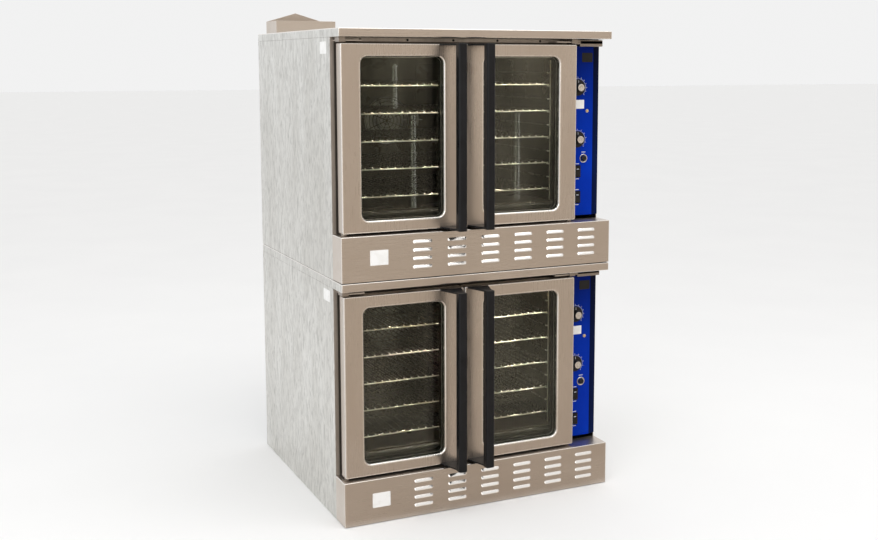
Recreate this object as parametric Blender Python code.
"""Double-stacked gas convection oven: two equal decks, each with a pair of glazed doors.

Units are metres and +Z is up. X runs to the right along the front, Y runs to the back, and the
origin is under the middle of the whole oven, on the floor. Each deck is made by the same
functions, one at floor level and one on top of it. Every moving piece has its origin, or its
parent empty, on the axis that it turns about.
"""

from math import cos, pi, radians, sin

import bmesh
import bpy
from mathutils import Matrix, Vector

# ---------------------------------------------------------------- driving dimensions
WIDTH = 0.970             # outside width of the casing
BODY_DEPTH = 0.920        # base panel front to rear panel
DECK_HEIGHT = 0.790       # one deck, without legs
BASE_HEIGHT = 0.147       # louvred panel below the doors
COVER_HEIGHT = 0.027      # folded lip of the top cover
SETBACK = 0.085           # base panel front to body front
DOOR_SETBACK = 0.020      # base panel front to door front
DOOR_THICK = 0.042
HANDLE_REACH = 0.0785     # handle front to base panel front
SHEET = 0.002             # casing sheet
FLANGE = 0.025            # side panel's return at the back
PAN_RIM = 0.020           # upturned rim of the base pan
REAR_LIFT = 0.004         # rear panel's lower edge above the deck's own floor
FRAME_THICK = 0.003       # front frame round the cavity mouth
GAP = 0.0004              # clearance between neighbouring pieces
OVERRUN = 0.010           # how far a cutter runs past the face that it cuts

# the front, from the left end of the casing
DOOR_LEFT = 0.012         # outer edge of the left door
DOOR_MEET = 0.429         # line where the two doors meet
DOOR_GAP = 0.004          # gap on that line
DOOR_BOTTOM = 0.1535      # above the deck's own floor
DOOR_TOP = 0.7445
DOOR_WALL = 0.0025        # sheet of the folded pan, with its filler
HINGE_INSET = 0.013       # hinge axis from the door's outer edge
HINGE_DEPTH = 0.025       # hinge axis behind the door's front face
PIN_RADIUS = 0.005
TAB_LIFT = 0.006          # hinge tab above the door's top edge
TAB_THICK = 0.004
TAB_LENGTH = 0.073
TAB_SETBACK = 0.008       # tab's front edge behind the door's front face
WINDOW_OUTER = 0.066      # stile outside the window
WINDOW_INNER = 0.071      # stile on the meeting side
WINDOW_BOTTOM = 0.192
WINDOW_TOP = 0.703
WINDOW_RADIUS = 0.022
GLASS_THICK = 0.014       # sealed double pane
GLASS_INSET = 0.006       # pane behind the door's front face

HANDLE_BAR = 0.029        # square bar with rounded corners
HANDLE_ROUND = 0.006
HANDLE_OFFSET = 0.049     # bar centre from the meeting line
HANDLE_PLATE = 0.005      # thickness of the end plates
PLATE_INSET = 0.001       # end plate from the bar's end and from its sides
PLATE_LAP = 0.006         # how far an end plate reaches into the bar
PLATE_AT_DOOR = 0.075     # width of an end plate where it meets the door

# the cavity
CAVITY_WIDTH = 0.737
CAVITY_BOTTOM = 0.215
CAVITY_TOP = 0.723
CAVITY_BACK = 0.770       # from the base panel front
LINER = 0.003
RACKS = 5
RACK_LOWEST = 0.2535
RACK_PITCH = 0.0888
RACK_THICK = 0.008
RACK_FRONT = 0.100
RACK_DEPTH = 0.590
RACK_WIRES = 13
WIRE = 0.006
RAIL = 0.010              # rack edge frame
RACK_MARGIN = 0.005       # rack edge to the cavity wall
RUNGS = 10
POST = 0.012              # depth of a support's upright
POST_THICK = 0.003
RUNG_REACH = 0.012        # how far a rung stands out from the wall
RUNG_HEIGHT = 0.005
SUPPORT_INSET = 0.008     # upright from the rack's front and back edge
SUPPORT_OFF_WALL = 0.001
SUPPORT_HEADROOM = 0.030  # top of the uprights below the cavity's ceiling

# the fan behind the cavity
FAN_RADIUS = 0.150
FAN_DEPTH = 0.046
FAN_BLADES = 10
FAN_FRONT = 0.712
FAN_HUB = 0.030
FAN_PLATE = 0.003
HUB_SETBACK = 0.008       # hub's face behind the blades' front edges
BLADE_START = 0.070       # inner end of a blade from the axis
BLADE_MARGIN = 0.004      # outer end of a blade inside the plate's rim
BLADE_THICK = 0.0024
BLADE_LAP = 0.001         # how far a blade reaches into the plate
SHAFT_RADIUS = 0.008
SHAFT_HOLE = 0.012
SHAFT_TAIL = 0.014        # shaft end behind the muffle's rear wall
MOTOR_RADIUS = 0.062
MOTOR_LENGTH = 0.118
MOTOR_OFF_LINER = 0.012
MOTOR_BOSS = (0.030, 0.034)   # radii of the boss at its face and at its foot
MOTOR_BOSS_LENGTH = 0.006
MOTOR_SHOULDER = 0.010    # where the full radius starts
MOTOR_TAPER = 0.012       # length of the rounded rear end
MOTOR_REAR = 0.050        # radius of the rear end

# the control panel, right of the doors
PANEL_LEFT = 0.850
PANEL_FRONT = 0.075
PANEL_FOLD = 0.943        # where its right edge turns back
PANEL_BOTTOM = 0.160
PANEL_TOP = 0.745
PANEL_RETURN = 0.004      # left return's reach behind the body's front
KNOB_X = 0.883
THERMOSTAT_Z = 0.600
TIMER_Z = 0.423
BUTTON_X = 0.908
BUTTON_Z = 0.357
ROCKER_X = 0.884
POWER_Z = 0.3125
FAN_SWITCH_Z = 0.223
KNOB_FACE = 0.009         # radius of the flat end
KNOB_EDGE = 0.012         # radius behind the end's chamfer
KNOB_CHAMFER = 0.0015
KNOB_GRIP = 0.0135        # radius where the grip meets the skirt
KNOB_SKIRT = 0.028
SKIRT_START = 0.007       # skirt's front edge before the panel
SKIRT_FULL = 0.004        # where the skirt has its full radius
KNOB_LENGTH = 0.024
SPINDLE = 0.003
SPINDLE_HOLE = 0.004
SPINDLE_TAIL = 0.020      # spindle end behind the panel's front
BUTTON_RADIUS = 0.0095
BUTTON_FACE = 0.005       # radius of the flat end
BUTTON_EDGE = 0.008       # radius behind the first chamfer
BUTTON_CHAMFER = 0.001
BUTTON_DOME = 0.003       # depth of the whole rounded end
BUTTON_REACH = 0.009
BUTTON_TRAVEL_GAP = 0.0042    # cap's rear face before the panel
BUTTON_STEM = 0.007
BUTTON_TAIL = 0.014       # stem end behind the panel's front
BUTTON_HOLE = 0.0075
ROCKER_WIDTH = 0.020
ROCKER_HALF = 0.0175
ROCKER_HOLE = 0.0205
ROCKER_AXIS = 0.005       # pin behind the panel's front
ROCKER_DEPTH = 0.010      # front and back of the rocker from its pin
ROCKER_BELLY = 0.0005     # how much fuller it is at its pin
ROCKER_BACK = 0.008       # half the height of its rear face
ROCKER_DISH = 0.0025      # hollow in the middle of its face

# louvres in the base panel
LOUVRE_FIRST = 0.2725
LOUVRE_PITCH = 0.121
LOUVRE_COLUMNS = 6
LOUVRE_WIDTH = 0.066
LOUVRE_HEIGHT = 0.008
LOUVRE_LOWEST = 0.0395
LOUVRE_STEP = 0.027
LOUVRE_ROWS = 4

# vent slots in the rear panel, behind the motor
VENT_WIDTH = 0.150
VENT_HEIGHT = 0.010
VENT_LOWEST = 0.370
VENT_STEP = 0.036
VENT_ROWS = 6

# the flue on the top, at the back left
FLUE_LEFT = 0.031
FLUE_WIDTH = 0.225
FLUE_FRONT = 0.780
FLUE_BACK = 0.914
FLUE_HEIGHT = 0.046
FLUE_PEAK = 0.079
FLUE_LEDGE = 0.015        # flue wall to the hole in the cover
GABLE_LAP = 0.010         # how far the peaked plate reaches below the duct's top

# ---------------------------------------------------------------- derived places
LEFT = -WIDTH / 2
FRONT = (HANDLE_REACH - BODY_DEPTH) / 2       # base panel front, centred over the handles too
BACK = FRONT + BODY_DEPTH
BODY_FRONT = FRONT + SETBACK
DOOR_RIGHT = 2 * DOOR_MEET - DOOR_LEFT
CAVITY_LEFT = DOOR_MEET - CAVITY_WIDTH / 2
CAVITY_RIGHT = DOOR_MEET + CAVITY_WIDTH / 2


def at_x(distance):
    """World X of a distance from the left end of the casing."""
    return LEFT + distance


def at_y(distance):
    """World Y of a distance behind the base panel's front."""
    return FRONT + distance


# ---------------------------------------------------------------- materials
def material(name, colour, roughness, metallic, alpha=1.0):
    mat = bpy.data.materials.new(name)
    mat.use_nodes = True
    shader = mat.node_tree.nodes["Principled BSDF"]
    shader.inputs["Base Color"].default_value = (*colour, 1.0)
    shader.inputs["Roughness"].default_value = roughness
    shader.inputs["Metallic"].default_value = metallic
    shader.inputs["Alpha"].default_value = alpha
    return mat


def make_materials():
    return {
        "stainless": material("stainless", (0.62, 0.58, 0.54), 0.32, 1.0),
        "galvanised": material("galvanised", (0.55, 0.56, 0.57), 0.45, 1.0),
        "enamel": material("enamel", (0.045, 0.04, 0.038), 0.35, 0.0),
        "chrome": material("chrome", (0.75, 0.75, 0.74), 0.12, 1.0),
        "glass": material("glass", (0.10, 0.13, 0.10), 0.03, 0.0, 0.35),
        "blue": material("blue", (0.01, 0.035, 0.33), 0.35, 0.0),
        "black": material("black", (0.015, 0.015, 0.017), 0.38, 0.0),
        "motor": material("motor", (0.12, 0.13, 0.14), 0.5, 0.4),
    }


# ---------------------------------------------------------------- modelling helpers
def clear_scene():
    for obj in list(bpy.data.objects):
        bpy.data.objects.remove(obj, do_unlink=True)


def finish_mesh(name, bm, mat, smooth=False):
    bmesh.ops.recalc_face_normals(bm, faces=bm.faces)
    mesh = bpy.data.meshes.new(name)
    bm.to_mesh(mesh)
    bm.free()
    mesh.materials.append(mat)
    if smooth:
        mesh.shade_smooth()
        mesh.set_sharp_from_angle(angle=radians(35))
    obj = bpy.data.objects.new(name, mesh)
    bpy.context.scene.collection.objects.link(obj)
    return obj


def from_cells(name, xs, ys, zs, filled, mat):
    """The outer skin of a block cut into cells, of which filled(i, j, k) says which are solid."""
    counts = (len(xs) - 1, len(ys) - 1, len(zs) - 1)

    def solid(cell):
        inside = all(0 <= c < n for c, n in zip(cell, counts))
        return inside and filled(*cell)

    bm = bmesh.new()
    made = {}

    def corner(i, j, k):
        if (i, j, k) not in made:
            made[(i, j, k)] = bm.verts.new((xs[i], ys[j], zs[k]))
        return made[(i, j, k)]

    square = ((0, 0), (1, 0), (1, 1), (0, 1))
    for i in range(counts[0]):
        for j in range(counts[1]):
            for k in range(counts[2]):
                if not solid((i, j, k)):
                    continue
                for axis in range(3):
                    for side in (0, 1):
                        beside = [i, j, k]
                        beside[axis] += 2 * side - 1
                        if solid(tuple(beside)):
                            continue
                        face = []
                        for a, b in square:
                            point = [i, j, k]
                            point[axis] += side
                            point[(axis + 1) % 3] += a
                            point[(axis + 2) % 3] += b
                            face.append(corner(*point))
                        bm.faces.new(face if side else reversed(face))
    bmesh.ops.dissolve_limit(bm, angle_limit=radians(1), verts=bm.verts, edges=bm.edges)
    return finish_mesh(name, bm, mat)


def box(name, low, high, mat):
    return from_cells(name, *zip(low, high), lambda i, j, k: True, mat)


def rectangle(x0, z0, x1, z1, radius=0.0, steps=4):
    """A rectangle's corners, counter-clockwise, each rounded with steps segments."""
    if radius == 0.0:
        return [(x0, z0), (x1, z0), (x1, z1), (x0, z1)]
    centres = (
        (x1 - radius, z0 + radius, -90),
        (x1 - radius, z1 - radius, 0),
        (x0 + radius, z1 - radius, 90),
        (x0 + radius, z0 + radius, 180),
    )
    points = []
    for cx, cz, start in centres:
        for step in range(steps + 1):
            angle = radians(start + 90 * step / steps)
            points.append((cx + radius * cos(angle), cz + radius * sin(angle)))
    return points


def circle(cx, cz, radius, sides):
    return [
        (cx + radius * cos(2 * pi * s / sides), cz + radius * sin(2 * pi * s / sides))
        for s in range(sides)
    ]


def extruded(name, outer, holes, start, end, mat, axis="Y"):
    """A flat outline with holes, extruded along an axis from start to end.

    The outline's points are (x, z) for axis Y, (x, y) for axis Z and (y, z) for axis X.
    """
    place = {
        "X": lambda p, w: (w, p[0], p[1]),
        "Y": lambda p, w: (p[0], w, p[1]),
        "Z": lambda p, w: (p[0], p[1], w),
    }[axis]
    bm = bmesh.new()
    for loop in [outer, *holes]:
        verts = [bm.verts.new(place(p, start)) for p in loop]
        for a, b in zip(verts, verts[1:] + verts[:1]):
            bm.edges.new((a, b))
    bmesh.ops.triangle_fill(bm, use_beauty=True, use_dissolve=False, edges=bm.edges)
    made = bmesh.ops.extrude_face_region(bm, geom=bm.faces)
    shift = Vector(place((0.0, 0.0), end)) - Vector(place((0.0, 0.0), start))
    moved = [v for v in made["geom"] if isinstance(v, bmesh.types.BMVert)]
    bmesh.ops.translate(bm, vec=shift, verts=moved)
    return finish_mesh(name, bm, mat)


def turned(name, profile, centre, sides, mat):
    """A turned piece about the Y axis through centre; profile is (radius, y) from front to back."""
    bm = bmesh.new()
    rings = []
    for radius, y in profile:
        ring = []
        for s in range(sides):
            angle = 2 * pi * s / sides
            ring.append(bm.verts.new((radius * cos(angle), y, radius * sin(angle))))
        rings.append(ring)
    for near, far in zip(rings, rings[1:]):
        for s in range(sides):
            t = (s + 1) % sides
            bm.faces.new((near[s], near[t], far[t], far[s]))
    bm.faces.new(rings[0])
    bm.faces.new(rings[-1])
    bmesh.ops.translate(bm, vec=Vector(centre), verts=bm.verts)
    return finish_mesh(name, bm, mat, smooth=True)


def combine(target, other, operation):
    """Applies an exact Boolean to target and removes the other object."""
    modifier = target.modifiers.new(operation.lower(), "BOOLEAN")
    modifier.object = other
    modifier.operation = operation
    modifier.solver = "EXACT"
    bpy.context.view_layer.update()
    evaluated = target.evaluated_get(bpy.context.evaluated_depsgraph_get())
    mesh = bpy.data.meshes.new_from_object(evaluated)
    target.modifiers.clear()
    target.data = mesh
    bpy.data.objects.remove(other, do_unlink=True)
    return target


def pivot(name, place, pieces):
    """An empty on a joint's axis, with the pieces that turn about it as its children."""
    empty = bpy.data.objects.new(name, None)
    empty.empty_display_size = 0.03
    empty.location = place
    bpy.context.scene.collection.objects.link(empty)
    for piece in pieces:
        piece.data.transform(Matrix.Translation(-Vector(place)))
        piece.parent = empty
    return empty


def set_origin(piece, place):
    piece.data.transform(Matrix.Translation(-Vector(place)))
    piece.location = place


# ---------------------------------------------------------------- casing
def side_panel(name, floor, outer, inner_side, mat):
    """A side sheet with a flange turned in at the back; inner_side is +1 on the left."""
    x1 = outer + inner_side * SHEET
    x2 = outer + inner_side * FLANGE
    y0 = BODY_FRONT + GAP
    outline = [
        (outer, y0), (x1, y0), (x1, BACK - SHEET),
        (x2, BACK - SHEET), (x2, BACK), (outer, BACK),
    ]
    top = floor + DECK_HEIGHT - COVER_HEIGHT - GAP
    return extruded(name, outline, [], floor + GAP * bool(floor), top, mat, axis="Z")


def rear_panel(name, floor, mat):
    """The rear sheet inside the side flanges, with a row of vent slots behind the motor."""
    inside = SHEET + GAP
    bottom = floor + REAR_LIFT
    top = floor + DECK_HEIGHT - COVER_HEIGHT - GAP
    slots = []
    for row in range(VENT_ROWS):
        z = floor + VENT_LOWEST + row * VENT_STEP
        half_x, half_z = VENT_WIDTH / 2, VENT_HEIGHT / 2
        x = at_x(DOOR_MEET)
        slots.append(rectangle(x - half_x, z - half_z, x + half_x, z + half_z))
    y = BACK - SHEET - GAP
    outer = rectangle(LEFT + inside, bottom, -LEFT - inside, top)
    return extruded(name, outer, slots, y - SHEET, y, mat)


def base_pan(name, floor, mat):
    """The pan that closes the deck underneath, with an upturned rim on all sides."""
    inside = SHEET + GAP
    bottom = floor + GAP * bool(floor)
    xs = [LEFT + inside, LEFT + inside + SHEET, -LEFT - inside - SHEET, -LEFT - inside]
    y0, y1 = BODY_FRONT + GAP, BACK - 2 * SHEET - 2 * GAP
    ys = [y0, y0 + SHEET, y1 - SHEET, y1]
    zs = [bottom, bottom + SHEET, bottom + PAN_RIM]
    return from_cells(name, xs, ys, zs, lambda i, j, k: k == 0 or i != 1 or j != 1, mat)


def base_front_panel(name, floor, mat):
    """A folded panel below the doors: front, ledge and two side returns, with louvre slots."""
    bottom = floor + GAP * bool(floor)
    top = floor + BASE_HEIGHT
    panel = box(name, (LEFT, FRONT, bottom), (-LEFT, BODY_FRONT, top), mat)
    hollow = box(
        "hollow",
        (LEFT + SHEET, FRONT + SHEET, bottom - OVERRUN),
        (-LEFT - SHEET, BODY_FRONT + OVERRUN, top - SHEET),
        mat,
    )
    combine(panel, hollow, "DIFFERENCE")
    for column in range(LOUVRE_COLUMNS):
        for row in range(LOUVRE_ROWS):
            x = at_x(LOUVRE_FIRST + column * LOUVRE_PITCH)
            z = floor + LOUVRE_LOWEST + row * LOUVRE_STEP
            half_x, half_z = LOUVRE_WIDTH / 2, LOUVRE_HEIGHT / 2
            slot = rectangle(x - half_x, z - half_z, x + half_x, z + half_z)
            cutter = extruded("slot", slot, [], FRONT - OVERRUN, FRONT + OVERRUN, mat)
            combine(panel, cutter, "DIFFERENCE")
    return panel


def top_cover(name, floor, mat, flue_hole):
    """A cap with its lip turned down; its front hem is a closed fold over the doors."""
    top = floor + DECK_HEIGHT
    xs = [LEFT, LEFT + SHEET, -LEFT - SHEET, -LEFT]
    ys = [FRONT, BODY_FRONT, BACK - SHEET, BACK]
    zs = [top - COVER_HEIGHT, top - SHEET, top]

    def filled(i, j, k):
        return k == 1 or j != 1 or i != 1

    cover = from_cells(name, xs, ys, zs, filled, mat)
    if flue_hole:
        flue_right = FLUE_LEFT + FLUE_WIDTH
        hole = box(
            "hole",
            (at_x(FLUE_LEFT + FLUE_LEDGE), at_y(FLUE_FRONT + FLUE_LEDGE), top - OVERRUN),
            (at_x(flue_right - FLUE_LEDGE), at_y(FLUE_BACK - FLUE_LEDGE), top + OVERRUN),
            mat,
        )
        combine(cover, hole, "DIFFERENCE")
    return cover


def front_frame(name, floor, mat):
    """The body's face round the cavity mouth, with a hinge tab over each door's outer corner."""
    tab_z = floor + DOOR_TOP + TAB_LIFT
    bottom = floor + BASE_HEIGHT + GAP
    top = floor + DECK_HEIGHT - COVER_HEIGHT - GAP
    right = at_x(PANEL_LEFT) - GAP
    outer = rectangle(LEFT + SHEET + GAP, bottom, right, top)
    mouth = rectangle(
        at_x(CAVITY_LEFT), floor + CAVITY_BOTTOM, at_x(CAVITY_RIGHT), floor + CAVITY_TOP
    )
    y0 = BODY_FRONT + GAP
    frame = extruded(name, outer, [mouth], y0, y0 + FRAME_THICK, mat)
    left_tab = (DOOR_LEFT, DOOR_LEFT + TAB_LENGTH)
    right_tab = (DOOR_RIGHT - TAB_LENGTH, PANEL_LEFT - GAP)
    for x0, x1 in (left_tab, right_tab):
        tab = box(
            "tab",
            (at_x(x0), at_y(DOOR_SETBACK + TAB_SETBACK), tab_z),
            (at_x(x1), y0 + FRAME_THICK / 2, tab_z + TAB_THICK),
            mat,
        )
        combine(frame, tab, "UNION")
    return frame


def cavity_liner(name, floor, mat):
    """The five-walled muffle, open at the front, with a hole for the fan shaft at the back."""
    x0, x1 = at_x(CAVITY_LEFT), at_x(CAVITY_RIGHT)
    z0, z1 = floor + CAVITY_BOTTOM, floor + CAVITY_TOP
    y0, y1 = BODY_FRONT + GAP + FRAME_THICK + GAP, at_y(CAVITY_BACK)
    xs = [x0 - LINER, x0, x1, x1 + LINER]
    ys = [y0, y1, y1 + LINER]
    zs = [z0 - LINER, z0, z1, z1 + LINER]

    def filled(i, j, k):
        return j == 1 or i != 1 or k != 1

    liner = from_cells(name, xs, ys, zs, filled, mat)
    hole = circle((x0 + x1) / 2, (z0 + z1) / 2, SHAFT_HOLE, 12)
    cutter = extruded("hole", hole, [], y1 - OVERRUN, y1 + LINER + OVERRUN, mat)
    return combine(liner, cutter, "DIFFERENCE")


def flue_box(name, floor, mat):
    """A four-sided duct whose rear wall rises to a peak."""
    x0, x1 = at_x(FLUE_LEFT), at_x(FLUE_LEFT + FLUE_WIDTH)
    y0, y1 = at_y(FLUE_FRONT), at_y(FLUE_BACK)
    z0, z1 = floor + GAP, floor + FLUE_HEIGHT
    xs = [x0, x0 + SHEET, x1 - SHEET, x1]
    ys = [y0, y0 + SHEET, y1 - SHEET, y1]
    duct = from_cells(name, xs, ys, [z0, z1], lambda i, j, k: i != 1 or j != 1, mat)
    middle = (x0 + x1) / 2
    low = z1 - GABLE_LAP
    gable = [(x0, low), (x1, low), (x1, z1), (middle, floor + FLUE_PEAK), (x0, z1)]
    rear = extruded("gable", gable, [], y1 - SHEET, y1, mat)
    return combine(duct, rear, "UNION")


# ---------------------------------------------------------------- inside
def rack_support(name, floor, wall, inward, mat):
    """Two uprights and the rungs between them; inward is +1 on the left wall."""
    y0 = at_y(RACK_FRONT + SUPPORT_INSET)
    y1 = at_y(RACK_FRONT + RACK_DEPTH - SUPPORT_INSET)
    x0 = wall + inward * SUPPORT_OFF_WALL
    x1 = x0 + inward * POST_THICK
    x2 = wall + inward * RUNG_REACH
    xs = sorted([x0, x1, x2])
    back_column = 0 if inward > 0 else 1
    ys = [y0, y0 + POST, y1 - POST, y1]
    zs = [floor + CAVITY_BOTTOM + SUPPORT_OFF_WALL]
    for rung in range(RUNGS):
        top = floor + RACK_LOWEST - GAP + rung * RACK_PITCH / 2
        zs += [top - RUNG_HEIGHT, top]
    zs.append(floor + CAVITY_TOP - SUPPORT_HEADROOM)

    def filled(i, j, k):
        rung = k % 2 == 1
        return rung or (i == back_column and j != 1)

    return from_cells(name, xs, ys, zs, filled, mat)


def rack(name, floor, level, mat):
    """A wire shelf: an edge frame with wires that run from front to back."""
    x0, x1 = at_x(CAVITY_LEFT + RACK_MARGIN), at_x(CAVITY_RIGHT - RACK_MARGIN)
    y0, y1 = at_y(RACK_FRONT), at_y(RACK_FRONT + RACK_DEPTH)
    z = floor + RACK_LOWEST + level * RACK_PITCH
    xs = [x0, x0 + RAIL]
    pitch = (x1 - x0 - 2 * RAIL) / (RACK_WIRES + 1)
    for wire in range(RACK_WIRES):
        centre = x0 + RAIL + (wire + 1) * pitch
        xs += [centre - WIRE / 2, centre + WIRE / 2]
    xs += [x1 - RAIL, x1]
    ys = [y0, y0 + RAIL, y1 - RAIL, y1]
    zs = [z, z + RACK_THICK]
    shelf = from_cells(name, xs, ys, zs, lambda i, j, k: i % 2 == 0 or j != 1, mat)
    set_origin(shelf, ((x0 + x1) / 2, y0, z))
    return shelf


def fan_wheel(name, centre, mat):
    """A back plate with radial blades, a hub and the shaft that runs back to the motor."""
    x, y, z = centre
    y_plate = y + FAN_DEPTH - FAN_PLATE
    y_back = y + FAN_DEPTH
    shaft_end = at_y(CAVITY_BACK) + SHAFT_TAIL
    profile = [
        (FAN_HUB, y + HUB_SETBACK), (FAN_HUB, y_plate), (FAN_RADIUS, y_plate), (FAN_RADIUS, y_back),
        (SHAFT_RADIUS, y_back), (SHAFT_RADIUS, shaft_end),
    ]
    wheel = turned(name, profile, (x, 0.0, z), 24, mat)
    for blade in range(FAN_BLADES):
        low = (BLADE_START, y, -BLADE_THICK / 2)
        high = (FAN_RADIUS - BLADE_MARGIN, y_plate + BLADE_LAP, BLADE_THICK / 2)
        piece = box("blade", low, high, mat)
        turn = Matrix.Rotation(2 * pi * blade / FAN_BLADES, 4, "Y")
        piece.data.transform(Matrix.Translation((x, 0.0, z)) @ turn)
        combine(wheel, piece, "UNION")
    set_origin(wheel, (x, y, z))
    return wheel


def fan_motor(name, centre, mat):
    """The motor on the back of the muffle, with its shaft end next to the wheel's."""
    x, _, z = centre
    y = at_y(CAVITY_BACK) + LINER + MOTOR_OFF_LINER
    y_end = y + MOTOR_LENGTH
    profile = [
        (MOTOR_BOSS[0], y), (MOTOR_BOSS[1], y + MOTOR_BOSS_LENGTH),
        (MOTOR_RADIUS, y + MOTOR_SHOULDER), (MOTOR_RADIUS, y_end - MOTOR_TAPER),
        (MOTOR_REAR, y_end),
    ]
    return turned(name, profile, (x, 0.0, z), 20, mat)


# ---------------------------------------------------------------- doors
def door_outline(left_side):
    """The door's and the window's left and right edges, from the casing's left end."""
    half_gap = DOOR_GAP / 2
    edges = (DOOR_LEFT, DOOR_MEET - half_gap)
    window = (DOOR_LEFT + WINDOW_OUTER, DOOR_MEET - WINDOW_INNER)
    if left_side:
        return edges, window
    mirrored = [tuple(2 * DOOR_MEET - v for v in reversed(pair)) for pair in (edges, window)]
    return mirrored[0], mirrored[1]


def door(name, floor, left_side, mat):
    """A folded pan with a window, and a hinge pin at its outer top and bottom corner."""
    wall = DOOR_WALL
    (x0, x1), (w0, w1) = door_outline(left_side)
    x0, x1, w0, w1 = at_x(x0), at_x(x1), at_x(w0), at_x(w1)
    z0, z1 = floor + DOOR_BOTTOM, floor + DOOR_TOP
    v0, v1 = floor + WINDOW_BOTTOM, floor + WINDOW_TOP
    y0, y1 = at_y(DOOR_SETBACK), at_y(DOOR_SETBACK + DOOR_THICK)
    window = rectangle(w0, v0, w1, v1, WINDOW_RADIUS)
    slab = extruded(name, rectangle(x0, z0, x1, z1), [window], y0, y1, mat)
    ring_hole = rectangle(w0 - wall, v0 - wall, w1 + wall, v1 + wall, WINDOW_RADIUS + wall)
    ring = rectangle(x0 + wall, z0 + wall, x1 - wall, z1 - wall)
    hollow = extruded("hollow", ring, [ring_hole], y0 + wall, y1 + OVERRUN, mat)
    combine(slab, hollow, "DIFFERENCE")
    hinge = hinge_place(floor, left_side)
    pins = (
        (z1 - wall / 2, floor + DOOR_TOP + TAB_LIFT - GAP),
        (floor + BASE_HEIGHT + GAP, z0 + wall / 2),
    )
    for low, high in pins:
        outline = circle(hinge[0], hinge[1], PIN_RADIUS, 12)
        pin = extruded("pin", outline, [], low, high, mat, axis="Z")
        combine(slab, pin, "UNION")
    return slab


def glass(name, floor, left_side, mat):
    _, (w0, w1) = door_outline(left_side)
    low = (at_x(w0) + GAP, floor + WINDOW_BOTTOM + GAP)
    high = (at_x(w1) - GAP, floor + WINDOW_TOP - GAP)
    outline = rectangle(*low, *high, WINDOW_RADIUS - GAP)
    y0 = at_y(DOOR_SETBACK + GLASS_INSET)
    return extruded(name, outline, [], y0, y0 + GLASS_THICK, mat)


def handle(name, floor, left_side, mat):
    """A full-height bar held off the door by a tapered plate at each end."""
    side = -1 if left_side else 1
    x = at_x(DOOR_MEET + side * HANDLE_OFFSET)
    half = HANDLE_BAR / 2
    y0 = at_y(-HANDLE_REACH)
    y1 = y0 + HANDLE_BAR
    z0, z1 = floor + DOOR_BOTTOM, floor + DOOR_TOP
    outline = rectangle(x - half, y0, x + half, y1, HANDLE_ROUND, steps=3)
    bar = extruded(name, outline, [], z0, z1, mat, axis="Z")
    y_door = at_y(DOOR_SETBACK) - GAP
    wide = PLATE_AT_DOOR / 2
    narrow = half - PLATE_INSET
    y_lap = y1 - PLATE_LAP
    plate = [(x - narrow, y_lap), (x + narrow, y_lap), (x + wide, y_door), (x - wide, y_door)]
    for low in (z0 + PLATE_INSET, z1 - HANDLE_PLATE - PLATE_INSET):
        piece = extruded("plate", plate, [], low, low + HANDLE_PLATE, mat, axis="Z")
        combine(bar, piece, "UNION")
    return bar


def hinge_place(floor, left_side):
    distance = DOOR_LEFT + HINGE_INSET if left_side else DOOR_RIGHT - HINGE_INSET
    return (at_x(distance), at_y(DOOR_SETBACK + HINGE_DEPTH), floor + DOOR_BOTTOM)


def door_set(prefix, floor, left_side, mats):
    """One door with its glass and handle, all turning about one hinge empty."""
    side = "left" if left_side else "right"
    pieces = [
        door(f"{prefix}_{side}_door", floor, left_side, mats["stainless"]),
        glass(f"{prefix}_{side}_door_glass", floor, left_side, mats["glass"]),
        handle(f"{prefix}_{side}_door_handle", floor, left_side, mats["black"]),
    ]
    pivot(f"{prefix}_{side}_door_hinge", hinge_place(floor, left_side), pieces)


# ---------------------------------------------------------------- controls
def control_panel(name, floor, mat):
    """A sheet whose right edge folds back to the side panel, cut out for the controls."""
    z0, z1 = floor + PANEL_BOTTOM, floor + PANEL_TOP
    left, fold, right = at_x(PANEL_LEFT), at_x(PANEL_FOLD), -LEFT - GAP
    front, back = at_y(PANEL_FRONT), BODY_FRONT - GAP
    outline = [
        (left, front), (fold, front), (right, back - SHEET), (right, back),
        (right - SHEET, back), (fold, front + SHEET), (left + SHEET, front + SHEET),
        (left + SHEET, BODY_FRONT + PANEL_RETURN), (left, BODY_FRONT + PANEL_RETURN),
    ]
    panel = extruded(name, outline, [], z0, z1, mat, axis="Z")
    holes = [circle(at_x(KNOB_X), floor + z, SPINDLE_HOLE, 10) for z in (THERMOSTAT_Z, TIMER_Z)]
    holes.append(circle(at_x(BUTTON_X), floor + BUTTON_Z, BUTTON_HOLE, 12))
    half = ROCKER_WIDTH / 2 + GAP
    for z in (POWER_Z, FAN_SWITCH_Z):
        x, middle = at_x(ROCKER_X), floor + z
        holes.append(rectangle(x - half, middle - ROCKER_HOLE, x + half, middle + ROCKER_HOLE))
    for hole in holes:
        cutter = extruded("cutter", hole, [], front - OVERRUN / 2, front + OVERRUN / 2, mat)
        combine(panel, cutter, "DIFFERENCE")
    return panel


def knob(name, floor, height, mat):
    """A skirted knob with a dished cap, and the spindle that goes through the panel."""
    y = at_y(PANEL_FRONT)
    y_face = y - KNOB_LENGTH
    profile = [
        (KNOB_FACE, y_face), (KNOB_EDGE, y_face + KNOB_CHAMFER), (KNOB_GRIP, y - SKIRT_START),
        (KNOB_SKIRT, y - SKIRT_FULL), (KNOB_SKIRT, y - GAP), (SPINDLE, y - GAP),
        (SPINDLE, y + SPINDLE_TAIL),
    ]
    centre = (at_x(KNOB_X), 0.0, floor + height)
    piece = turned(name, profile, centre, 20, mat)
    set_origin(piece, (centre[0], y, centre[2]))


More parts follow.
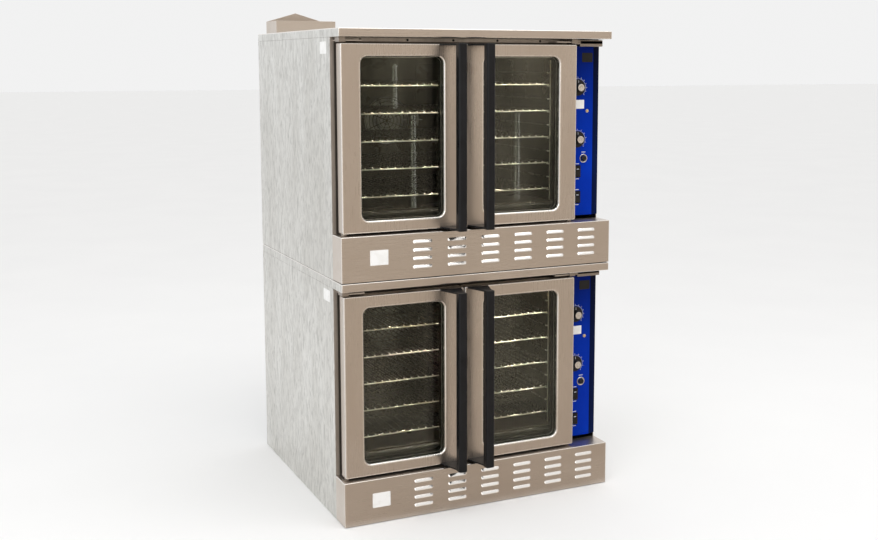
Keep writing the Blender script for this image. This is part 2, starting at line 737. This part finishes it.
def push_button(name, floor, mat):
    """A domed button whose stem goes back through the panel."""
    y = at_y(PANEL_FRONT)
    y_face = y - BUTTON_REACH
    y_rear = y - BUTTON_TRAVEL_GAP
    profile = [
        (BUTTON_FACE, y_face), (BUTTON_EDGE, y_face + BUTTON_CHAMFER),
        (BUTTON_RADIUS, y_face + BUTTON_DOME), (BUTTON_RADIUS, y_rear),
        (BUTTON_STEM, y_rear), (BUTTON_STEM, y + BUTTON_TAIL),
    ]
    centre = (at_x(BUTTON_X), 0.0, floor + BUTTON_Z)
    piece = turned(name, profile, centre, 16, mat)
    set_origin(piece, (centre[0], y, centre[2]))


def rocker(name, floor, height, mat):
    """A two-winged rocker that turns about a pin just behind the panel."""
    axis_y = at_y(PANEL_FRONT + ROCKER_AXIS)
    z = floor + height
    front, rear = axis_y - ROCKER_DEPTH, axis_y + ROCKER_DEPTH
    belly = ROCKER_HALF + ROCKER_BELLY
    outline = [
        (front, z - ROCKER_HALF), (axis_y, z - belly), (rear, z - ROCKER_BACK),
        (rear, z + ROCKER_BACK), (axis_y, z + belly), (front, z + ROCKER_HALF),
        (front + ROCKER_DISH, z),
    ]
    x = at_x(ROCKER_X)
    half = ROCKER_WIDTH / 2
    piece = extruded(name, outline, [], x - half, x + half, mat, axis="X")
    set_origin(piece, (x, axis_y, z))


# ---------------------------------------------------------------- assembly
def deck(prefix, floor, mats, flue_hole):
    steel = mats["stainless"]
    side_panel(f"{prefix}_left_side_panel", floor, LEFT, 1, steel)
    side_panel(f"{prefix}_right_side_panel", floor, -LEFT, -1, steel)
    rear_panel(f"{prefix}_rear_panel", floor, mats["galvanised"])
    base_pan(f"{prefix}_base_pan", floor, mats["galvanised"])
    base_front_panel(f"{prefix}_base_front_panel", floor, steel)
    top_cover(f"{prefix}_top_cover", floor, steel, flue_hole)
    front_frame(f"{prefix}_front_frame", floor, steel)
    cavity_liner(f"{prefix}_cavity_liner", floor, mats["enamel"])
    rack_support(f"{prefix}_left_rack_support", floor, at_x(CAVITY_LEFT), 1, mats["chrome"])
    rack_support(f"{prefix}_right_rack_support", floor, at_x(CAVITY_RIGHT), -1, mats["chrome"])
    for level in range(RACKS):
        rack(f"{prefix}_rack_{level + 1}", floor, level, mats["chrome"])
    middle = (at_x(DOOR_MEET), at_y(FAN_FRONT), floor + (CAVITY_BOTTOM + CAVITY_TOP) / 2)
    fan_wheel(f"{prefix}_fan_wheel", middle, mats["galvanised"])
    fan_motor(f"{prefix}_fan_motor", middle, mats["motor"])
    for left_side in (True, False):
        door_set(prefix, floor, left_side, mats)
    control_panel(f"{prefix}_control_panel", floor, mats["blue"])
    knob(f"{prefix}_thermostat_knob", floor, THERMOSTAT_Z, mats["black"])
    knob(f"{prefix}_timer_knob", floor, TIMER_Z, mats["black"])
    push_button(f"{prefix}_light_button", floor, mats["black"])
    rocker(f"{prefix}_power_rocker", floor, POWER_Z, mats["black"])
    rocker(f"{prefix}_fan_rocker", floor, FAN_SWITCH_Z, mats["black"])


def main():
    clear_scene()
    mats = make_materials()
    deck("lower", 0.0, mats, flue_hole=False)
    deck("upper", DECK_HEIGHT, mats, flue_hole=True)
    flue_box("flue_box", 2 * DECK_HEIGHT, mats["stainless"])


main()
